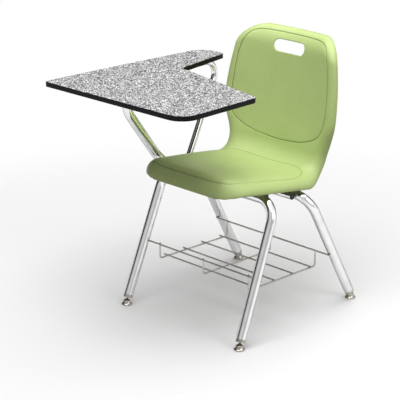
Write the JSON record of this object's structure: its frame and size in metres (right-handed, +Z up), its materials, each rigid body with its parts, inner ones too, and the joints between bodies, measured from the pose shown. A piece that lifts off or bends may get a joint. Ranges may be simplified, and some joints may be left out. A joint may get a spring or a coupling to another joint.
{
  "type": "chair desk",
  "caption": "Classroom chair with a moulded green shell on chromed tube legs, a fixed speckled writing tablet at one side, a wire book rack below and swivel glides.",
  "frame": {"origin": "on the floor, under the middle of the overall box", "axes": "+Z up, -Y the way the sitter faces, +X to the sitter's left; the tablet is on the -X side"},
  "size_m": [0.6408, 0.6767, 0.8027],
  "materials": {
    "chrome_tube": "polished chrome plate",
    "chrome_wire": "chrome plated wire",
    "black_steel": "black powder coat",
    "zinc_screw": "zinc plated",
    "shell_plastic": "fine grained polypropylene",
    "black_plug": "black moulded plastic",
    "board": "particle board",
    "laminate": "speckled grey laminate, matt",
    "backer": "dark paper backer",
    "edge_strip": "black extruded strip",
    "nickel": "satin nickel plate",
    "black_stud": "blackened steel",
    "liner_plastic": "natural nylon",
    "pad_plastic": "black nylon"
  },
  "bodies": {
    "frame": {"front_leg_tube": "chrome_tube", "rear_leg_tube": "chrome_tube", "tablet_post": "chrome_tube", "arm_brace": "chrome_tube", "rack_front_rail": "chrome_wire", "rack_rear_rail": "chrome_wire", "rack_cross_left": "chrome_wire", "rack_cross_middle": "chrome_wire", "rack_cross_right": "chrome_wire", "rack_floor_1": "chrome_wire", "rack_floor_2": "chrome_wire", "rack_floor_3": "chrome_wire", "rack_floor_4": "chrome_wire", "seat_rail_left": "black_steel", "seat_rail_right": "black_steel", "tablet_plate": "black_steel", "arm_plate": "black_steel", "seat_screws": "zinc_screw", "tablet_screws": "zinc_screw", "seat_shell": "shell_plastic", "post_plug_low": "black_plug", "post_plug_top": "black_plug", "brace_plug_low": "black_plug", "brace_plug_top": "black_plug", "tablet_core": "board", "tablet_laminate": "laminate", "tablet_backer": "backer", "tablet_edge": "edge_strip", "glide_fl_cap": "nickel", "glide_fl_stud": "black_stud", "glide_fr_cap": "nickel", "glide_fr_stud": "black_stud", "glide_rl_cap": "nickel", "glide_rl_stud": "black_stud", "glide_rr_cap": "nickel", "glide_rr_stud": "black_stud"},
    "liner_fl": {"glide_fl_liner": "liner_plastic"},
    "foot_fl": {"glide_fl_foot": "nickel", "glide_fl_pad": "pad_plastic"},
    "liner_fr": {"glide_fr_liner": "liner_plastic"},
    "foot_fr": {"glide_fr_foot": "nickel", "glide_fr_pad": "pad_plastic"},
    "liner_rl": {"glide_rl_liner": "liner_plastic"},
    "foot_rl": {"glide_rl_foot": "nickel", "glide_rl_pad": "pad_plastic"},
    "liner_rr": {"glide_rr_liner": "liner_plastic"},
    "foot_rr": {"glide_rr_foot": "nickel", "glide_rr_pad": "pad_plastic"}
  },
  "joints": [
    {"name": "glide_fl_tilt", "type": "hinge", "parent": "frame", "child": "liner_fl", "pos_m": [0.305, -0.1835, 0.012], "axis": [1, 0, 0], "range_deg": [-8, 8]},
    {"name": "glide_fl_turn", "type": "hinge", "parent": "liner_fl", "child": "foot_fl", "pos_m": [0.305, -0.1835, 0.012], "axis": [0, 0, 1], "continuous": true},
    {"name": "glide_fr_tilt", "type": "hinge", "parent": "frame", "child": "liner_fr", "pos_m": [-0.155, -0.1835, 0.012], "axis": [1, 0, 0], "range_deg": [-8, 8]},
    {"name": "glide_fr_turn", "type": "hinge", "parent": "liner_fr", "child": "foot_fr", "pos_m": [-0.155, -0.1835, 0.012], "axis": [0, 0, 1], "continuous": true},
    {"name": "glide_rl_tilt", "type": "hinge", "parent": "frame", "child": "liner_rl", "pos_m": [0.305, 0.3225, 0.012], "axis": [1, 0, 0], "range_deg": [-8, 8]},
    {"name": "glide_rl_turn", "type": "hinge", "parent": "liner_rl", "child": "foot_rl", "pos_m": [0.305, 0.3225, 0.012], "axis": [0, 0, 1], "continuous": true},
    {"name": "glide_rr_tilt", "type": "hinge", "parent": "frame", "child": "liner_rr", "pos_m": [-0.155, 0.3225, 0.012], "axis": [1, 0, 0], "range_deg": [-8, 8]},
    {"name": "glide_rr_turn", "type": "hinge", "parent": "liner_rr", "child": "foot_rr", "pos_m": [-0.155, 0.3225, 0.012], "axis": [0, 0, 1], "continuous": true}
  ]
}
